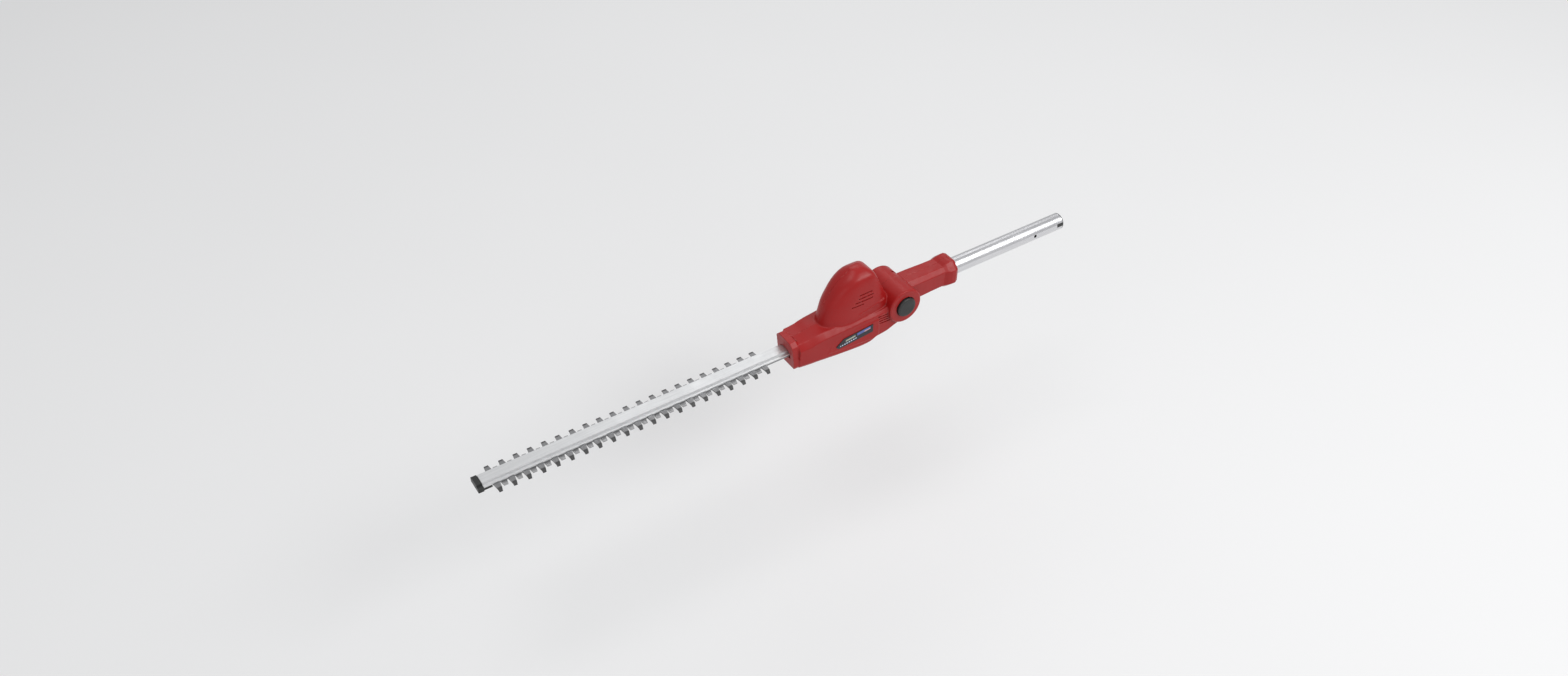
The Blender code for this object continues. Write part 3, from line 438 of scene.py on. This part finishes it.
def blendrow(rows, k, t):
    """Smooth cubic through the rows of a table, between rows k and k + 1."""
    flat = [[r[0]] + [c for p in r[1:] for c in p] if isinstance(r[1], tuple) else list(r) for r in rows]
    a, b = flat[max(k - 1, 0)], flat[k]
    c, d = flat[k + 1], flat[min(k + 2, len(flat) - 1)]
    out = []
    for i in range(len(b)):
        m0 = (c[i] - a[i]) * ((c[0] - b[0]) / (c[0] - a[0]))
        m1 = (d[i] - b[i]) * ((c[0] - b[0]) / (d[0] - b[0]))
        h = t * t
        g = h * t
        out.append((2 * g - 3 * h + 1) * b[i] + (g - 2 * h + t) * m0 + (3 * h - 2 * g) * c[i] + (g - h) * m1)
    return out


def body_form(t, fine):
    rows = []
    if fine:
        for k in range(len(BODY) - 1):
            for j in range(fine):
                r = blendrow(BODY, k, j / fine)
                rows.append((r[0], (r[1], r[2]), (r[3], r[4]), (r[5], r[6]), (r[7], r[8])))
        rows.append(BODY[-1])
    else:
        rows = BODY
    secs = []
    for i, (x, a, b, c, d) in enumerate(rows):
        if t and i == 0:
            x += t
        if t and i == len(rows) - 1:
            x -= 24.0
            a, b, c, d = rows[-3][1:]
        if t and len(rows) - 4 < i < len(rows) - 1:
            continue
        half = [(0, a[1] - t), (a[0] - t * 0.7, a[1] - t), (b[0] - t, b[1] - t * 0.3), (c[0] - t, c[1] + t * 0.3), (d[0] - t * 0.6, d[1] + t), (0, d[1] + t)]
        # the near shoulder is cut back further towards the nose
        k = min(1.0, max(0.0, (560.0 - x) / 62.0))
        near = [(-y, z) for y, z in half[1:-1]]
        near[0] = (near[0][0] + 2.3 * k, near[0][1] - 2.4 * k)
        near[1] = (near[1][0] - 0.8 * k, near[1][1] + 0.9 * k)
        pts = half + near[::-1]
        secs.append([P(x, y, z) for y, z in pts])
    return loft_bm(secs)


def dome_form(t, seg, fine):
    rows = []
    if fine:
        for k in range(len(DOME) - 1):
            for j in range(fine):
                rows.append(blendrow(DOME, k, j / fine))
        rows.append(DOME[-1])
        rows += [(99.9, 555.0, 568.0, 4.0), (100.1, 558.5, 565.0, 1.2)]
    else:
        rows = DOME
    secs = []
    for z, xf, xr, w in rows:
        if t:
            z = z - t if z > 60 else z
        xm = xf + 0.52 * (xr - xf)
        loop = []
        for k in range(seg):
            a = 2 * math.pi * k / seg
            c, s = math.cos(a), math.sin(a)
            n = 5.0 if c > 0 else 2.4
            rx = (xr - xm if c > 0 else xm - xf) - t
            loop.append(P(xm + rx * math.copysign(abs(c) ** (2 / n), c), (w - t) * math.copysign(abs(s) ** (2 / n), s), z))
        secs.append(loop)
    return loft_bm(secs)


def nose_form(t):
    half = [(0, 24.2 - t), (14.0 - t * 0.7, 24.2 - t), (20.4 - t, 17.6 - t * 0.4), (21.4 - t, -17.8 + t * 0.3), (18.9 - t * 0.6, -22.6 + t), (0, -22.6 + t)]
    pts = half + [(-y, z) for y, z in reversed(half[1:-1])]
    x0, x1 = 441.0 + (2.6 if t else 0), 451.5 + (2 if t else 0)
    a = [P(x0 + (24.2 - z) * 0.095, y, z) for y, z in pts]
    b = [P(x1 + (24.2 - z) * 0.05, y, z) for y, z in pts]
    c = [P(x1 + 4.0 + (24.2 - z) * 0.02, y * 0.94, z * 0.8 if z > 0 else z * 0.94) for y, z in pts]
    return loft_bm([a, b, c])


def flank(outline, inner, outer_):
    def y(x, off):
        return -(26.6 + (x - 505.0) * 0.068 + off)

    bm = bmesh.new()
    a = [bm.verts.new(P(x, y(x, inner), z)) for x, z in outline]
    b = [bm.verts.new(P(x, y(x, outer_), z)) for x, z in outline]
    bm.faces.new(a)
    bm.faces.new(b)
    for k in range(len(a)):
        j = (k + 1) % len(a)
        bm.faces.new((a[k], a[j], b[j], b[k]))
    bmesh.ops.triangulate(bm, faces=bm.faces)
    return bm


def neck_room():
    h = NECK_HALF + 0.5
    pts = [(-4.0, h), (75.0, h)]
    for k in range(0, 6):
        a = -math.radians(TILT_MAX) * k / 5
        pts.append((80 * math.cos(a), 80 * math.sin(a)))
    a = -math.radians(TILT_MAX)
    c, s = math.cos(a), math.sin(a)
    pts += [(75 * c + h * s, 75 * s - h * c), (h * s - 4 * c, -h * c - 4 * s)]
    return prism("neck_room", [(PIVOT + u, AH + v) for u, v in pts], "Y", -CHEEK_IN, CHEEK_IN)


PANEL_OUT = [(499.0, -13.5), (576.0, -16.2), (584.0, -12.0), (583.0, 15.6), (556.0, 14.4), (516.0, 10.0), (508.0, 8.0)]


def rounded(ob, voxel, passes):
    """Re-skins a joined form evenly, so the moulding's edges and inner corners get a small radius."""
    m = ob.modifiers.new("skin", "REMESH")
    m.mode = "VOXEL"
    m.voxel_size = voxel * 0.001
    m.adaptivity = 0.0
    s = ob.modifiers.new("soft", "SMOOTH")
    s.factor = 0.5
    s.iterations = passes
    me = evaluated(ob)
    ob.modifiers.clear()
    ob.data = me
    return ob


def ring_sector(r0, r1, y0, y1, a0, a1, n):
    bm = bmesh.new()
    quad = []
    for k in range(n + 1):
        a = math.radians(a0 + (a1 - a0) * k / n)
        c, q = math.cos(a), math.sin(a)
        quad.append([bm.verts.new(P(PIVOT + r * c, y, AH + r * q)) for r, y in ((r0, y0), (r1, y0), (r1, y1), (r0, y1))])
    for a, b in zip(quad, quad[1:]):
        for k in range(4):
            bm.faces.new((a[k], a[(k + 1) % 4], b[(k + 1) % 4], b[k]))
    bm.faces.new(quad[0])
    bm.faces.new(quad[-1])
    bmesh.ops.triangulate(bm, faces=bm.faces)
    return bm


def build_housing():
    form = new_object("form", body_form(0, 5))
    for tool in (new_object("dome", dome_form(0, 96, 5)), new_object("nose", nose_form(0)), turned("knuckle", [(-KNUCKLE_NEAR, 26.1), (-KNUCKLE_NEAR + 1.4, KNUCKLE_R), (KNUCKLE_FAR - 1.6, KNUCKLE_R), (KNUCKLE_FAR, 25.9)], "Y", (PIVOT, 0, AH), 128), new_object("panel", flank(PANEL_OUT, -2.0, 1.0))):
        cut(form, tool, "UNION")
    for q in (-1, 1):
        lo, hi = sorted((q * 20.0, q * 26.9))
        cut(form, prism("flank_step", [(551, 33.2), (575, 38.2), (596, 43.2), (596, 45.4), (575, 40.4), (551, 35.4)], "Y", lo, hi), "UNION")
    cut(form, box("groove", 451.6, 453.6, -30, -20.0, -6, 30))
    rounded(form, 0.7, 4)
    cut(form, box("rim_notch", 637.5, 646.0, 12.5, 17.0, 40, 54))

    # one tool for everything taken out of the form
    hollow = new_object("hollow", body_form(WALL, 0))
    cut(hollow, new_object("dome_hollow", dome_form(WALL, 48, 0)), "UNION")
    cut(hollow, new_object("nose_hollow", nose_form(WALL)), "UNION")
    for i, (x, z, reach) in enumerate(BOSSES):
        cut(hollow, rod(f"boss_{i}", x, -reach, z, "Y", 2 * reach, 4.2, 24))
    bm = bmesh.new()
    for x0, x1, z, y0, y1 in [(a, b, c, -31.0, 31.0) for a, b, c in VENTS] + [(a, b, c, s * 25.3, s * 36.0) for a, b, c in LOW_VENTS for s in (-1, 1)]:
        a, b = P(x0, y0, z - 0.9), P(x1, y1, z + 0.9)
        bmesh.ops.create_cube(bm, size=1.0, matrix=Matrix.Translation((a + b) / 2) @ Matrix.Diagonal((b.x - a.x, abs(b.y - a.y), b.z - a.z, 1)))
    taken = [
        box("bar_slot", 436, 449, -12.6, 12.6, -7.6, 3.7),
        box("bar_slot_top", 436, 449, -8.3, 8.3, 3.2, 6.6),
        rod("eye_room", PIVOT, -CHEEK_IN, AH, "Y", 2 * CHEEK_IN, EYE_R + 0.8, 96),
        neck_room(),
        rod("pivot_hole", PIVOT, -60, AH, "Y", 120, 6.3, 32),
        rod("button_well", PIVOT, -45, AH, "Y", 22.5, 14.6, 96),
        rod("button_rim", PIVOT, -45, AH, "Y", 12.0, 16.4, 96),
        rod("far_well", PIVOT, KNUCKLE_FAR - 6.5, AH, "Y", 12, 11.5, 64),
        new_object("vents", bm),
        new_object("root_room", ring_sector(KNUCKLE_R + 0.03, 52.0, -20.6, 20.6, 50.0, -112.0, 81)),
    ]
    out = []
    for name, side in (("housing_near_fine", -1), ("housing_far_fine", 1)):
        me = form.data.copy()
        ob = bpy.data.objects.new(name, me)
        SHOWN.objects.link(ob)
        lo, hi = (-70, -GAP / 2) if side < 0 else (GAP / 2, 70)
        cut(ob, box("half", 400, 700, lo, hi, -60, 140), "INTERSECT", "MANIFOLD")
        cut(ob, hollow, "DIFFERENCE", "MANIFOLD")
        for tool in taken:
            cut(ob, tool, "DIFFERENCE", "MANIFOLD")
        bm = bmesh.new()
        for x, z, reach in BOSSES:
            if side < 0:
                revolve(bm, [(-15.0, 1.85), (5.0, 1.85)], "Y", (x, 0, z), 20)
            else:
                revolve(bm, [(-5.0, 2.05), (8.0, 2.05), (8.0, 3.4), (60.0, 3.4)], "Y", (x, 0, z), 20)
        cut(ob, new_object("screws", bm), "DIFFERENCE", "MANIFOLD")
        ob.data.materials.clear()
        ob.data.materials.append(RED)
        sharp(ob, 38)
        out.append(ob)
    return out


SLEEVE = [(640.0, 19.4, 0.66), (664.0, 19.3, 0.66), (690.0, 18.5, 0.66), (713.0, 18.2, 0.66), (719.0, 20.8, 0.56), (725.0, 22.4, 0.5), (731.0, 22.6, 0.5), (COLLAR_END, 20.2, 0.5)]
SLEEVE_SCREWS = [(657.0, 12.0), (657.0, -12.0), (727.0, 18.0), (727.0, -18.0)]


def octagon(x, apothem, k):
    """Eight-sided section across the sleeve: flats at the apothem, corners k of it away."""
    h = apothem
    return [P(x, y, AH + z) for y, z in ((h * k, apothem), (h, apothem * k), (h, -apothem * k), (h * k, -apothem), (-h * k, -apothem), (-h, -apothem * k), (-h, apothem * k), (-h * k, apothem))]


def build_sleeve():
    form = new_object("sleeve_form", loft_bm([octagon(*q) for q in SLEEVE]))
    cut(form, rod("eye", PIVOT, -EYE_HALF, AH, "Y", 2 * EYE_HALF, EYE_R, 128), "UNION")
    rounded(form, 0.6, 5)
    bm = bmesh.new()
    for q in (-1, 1):
        revolve(bm, [(q * EYE_HALF, KNUCKLE_R + 0.6), (q * 30.0, KNUCKLE_R + 0.6)], "Y", (PIVOT, 0, AH), 128)
    cut(form, new_object("cheek_room", bm))
    bores = [
        rod("bore", 661.7, 0, AH, "X", 100, TUBE_R + GAP, 96),
        rod("cable_way", PIVOT - 30, 0, AH, "X", 70, 4.0, 32),
        rod("eye_hole", PIVOT, -30, AH, "Y", 60, 6.4, 48),
        rod("washer_near", PIVOT, -18, AH, "Y", 2.6, 10.4, 48),
        rod("washer_far", PIVOT, 15.4, AH, "Y", 2.6, 10.4, 48),
    ]
    out = []
    for name, side in (("sleeve_near_fine", -1), ("sleeve_far_fine", 1)):
        ob = bpy.data.objects.new(name, form.data.copy())
        SHOWN.objects.link(ob)
        lo, hi = (-40, -GAP / 2) if side < 0 else (GAP / 2, 40)
        cut(ob, box("half", 580, 760, lo, hi, -30, 80), "INTERSECT", "MANIFOLD")
        for tool in bores:
            cut(ob, tool, "DIFFERENCE", "MANIFOLD")
        bm = bmesh.new()
        for x, dz in SLEEVE_SCREWS:
            if side < 0:
                revolve(bm, [(-7.0, 1.75), (2.0, 1.75)], "Y", (x, 0, AH + dz), 20)
            else:
                revolve(bm, [(-2.0, 1.9), (4.6, 1.9), (4.6, 3.1), (40.0, 3.1)], "Y", (x, 0, AH + dz), 20)
        cut(ob, new_object("sleeve_screw_tools", bm), "DIFFERENCE", "MANIFOLD")
        ob.data.materials.clear()
        ob.data.materials.append(RED)
        sharp(ob, 38)
        out.append(ob)
    return out


near, far = build_housing()
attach(near, "head")
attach(far, "head")
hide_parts("housing_near_half")
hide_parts("housing_far_half")
s_near, s_far = build_sleeve()
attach(s_near, "pole")
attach(s_far, "pole")
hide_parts("sleeve_near_half")
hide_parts("sleeve_far_half")

for ob in list(TOOLS.objects):
    bpy.data.objects.remove(ob, do_unlink=True)
bpy.data.collections.remove(TOOLS)

for n, ob in N.items():
    sharp(ob, 30)
for n, width in (("guide_bar", 0.45), ("guard_comb", 0.18), ("cutter_blade", 0.18), ("bar_tip_cap", 0.7), ("lock_button", 0.35), ("label_plate", 0.12), ("pole_connector", 0.35), ("pole_tube", 0.3), ("pivot_far_cap", 0.3)):
    m = N[n].modifiers.new("edge_radius", "BEVEL")
    m.width = width * 0.001
    m.segments = 2
    m.limit_method = "ANGLE"
    m.angle_limit = math.radians(32)
    m.harden_normals = False

# ================================================================ STUDIO
def studio():
    scene = bpy.context.scene
    scene.view_settings.view_transform = "Standard"
    world = bpy.data.worlds.new("studio")
    world.use_nodes = True
    world.node_tree.nodes["Background"].inputs["Color"].default_value = (0.98, 0.985, 1.0, 1)
    world.node_tree.nodes["Background"].inputs["Strength"].default_value = 0.57
    scene.world = world

    bm = bmesh.new()
    bmesh.ops.create_grid(bm, x_segments=1, y_segments=1, size=14.0)
    me = bpy.data.meshes.new("floor")
    bm.to_mesh(me)
    bm.free()
    floor = bpy.data.objects.new("floor", me)
    scene.collection.objects.link(floor)
    floor.location = (0, 0, -0.32)
    m, nt, b = shader("floor")
    nt.links.new(ramp(nt, noise(nt, 0.6, 3.0), [(0.3, (0.78, 0.78, 0.78)), (0.7, (0.8, 0.8, 0.8))]), b.inputs["Base Color"])
    b.inputs["Roughness"].default_value = 0.9
    b.inputs["Specular IOR Level"].default_value = 0.0
    me.materials.append(m)

    def area(name, loc, target, size, power, colour=(1, 1, 1)):
        la = bpy.data.lights.new(name, "AREA")
        la.shape = "RECTANGLE"
        la.size, la.size_y = size
        la.energy = power
        la.color = colour
        ob = bpy.data.objects.new(name, la)
        scene.collection.objects.link(ob)
        ob.location = loc
        ob.rotation_mode = "QUATERNION"
        ob.rotation_quaternion = (Vector(target) - Vector(loc)).to_track_quat("-Z", "Y")
        return ob

    mid = (-0.45, 0.0, 0.0)
    area("key", (-1.2, 0.4, 5.0), mid, (3.0, 2.4), 56)
    area("sheen_far", (1.4, 2.9, 2.9), mid, (2.6, 1.3), 16)
    area("sheen_near", (1.3, -2.35, 2.75), mid, (2.4, 1.3), 70)
    area("front", (-3.4, -3.2, 1.6), mid, (2.4, 2.0), 12)

    cam = bpy.data.cameras.new("camera")
    cam.sensor_width = 36.0
    cam.lens = 36.0 * 1280.0 / 1568.0
    cam.clip_start, cam.clip_end = 0.05, 50.0
    ob = bpy.data.objects.new("camera", cam)
    scene.collection.objects.link(ob)
    al, e = math.radians(33.26), math.radians(40.88)
    right = Vector((math.cos(al), -math.sin(al), 0))
    up = Vector((math.sin(al) * math.sin(e), math.cos(al) * math.sin(e), math.cos(e)))
    back = Vector((-math.sin(al) * math.cos(e), -math.cos(al) * math.cos(e), math.sin(e)))
    rot = Matrix((right, up, back)).transposed()
    ob.rotation_mode = "QUATERNION"
    ob.rotation_quaternion = rot.to_quaternion()
    ob.location = (-1.2539, -1.1316, 1.1720)
    scene.camera = ob


studio()
